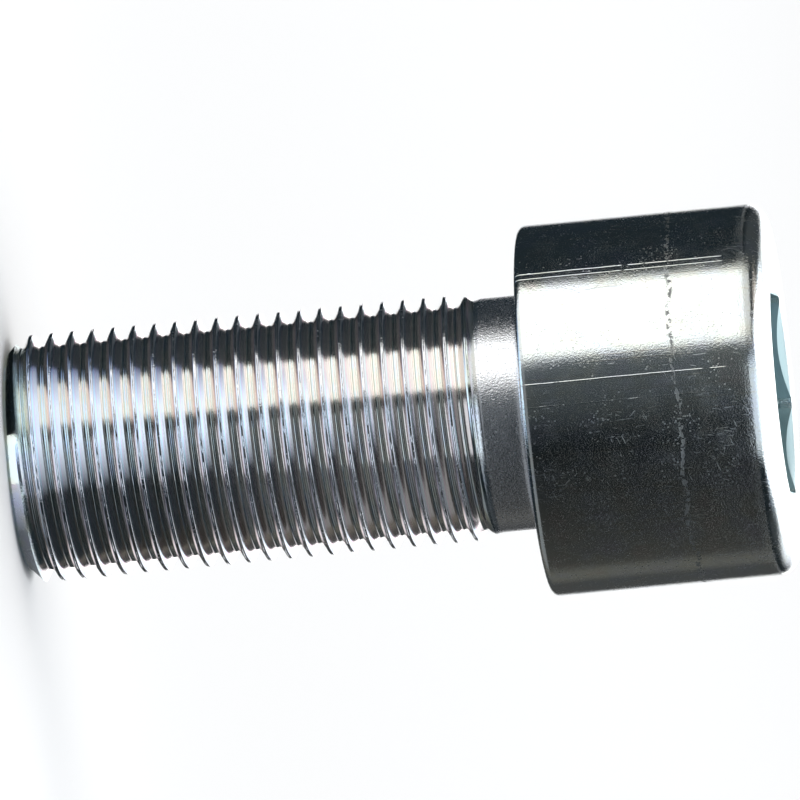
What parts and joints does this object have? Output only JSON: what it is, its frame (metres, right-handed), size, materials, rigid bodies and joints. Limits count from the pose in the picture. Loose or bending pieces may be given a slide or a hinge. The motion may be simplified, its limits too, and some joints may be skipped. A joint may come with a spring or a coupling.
{
  "type": "socket head cap screw",
  "caption": "Zinc-plated cap screw with a cylindrical head, a hex socket, a short plain shank and a fine right-hand thread; clamps parts together when turned with a hex key.",
  "frame": {"origin": "middle of the end face of the thread, on which the screw stands", "axes": "+Z along the screw's axis, from the tip up to the head"},
  "size_m": [0.0356, 0.0356, 0.0738],
  "materials": {
    "zinc_plating": "bright zinc plating with a faint rainbow tint, over forged and rolled steel"
  },
  "bodies": {
    "root": {"cap_screw": "zinc_plating"}
  },
  "joints": []
}
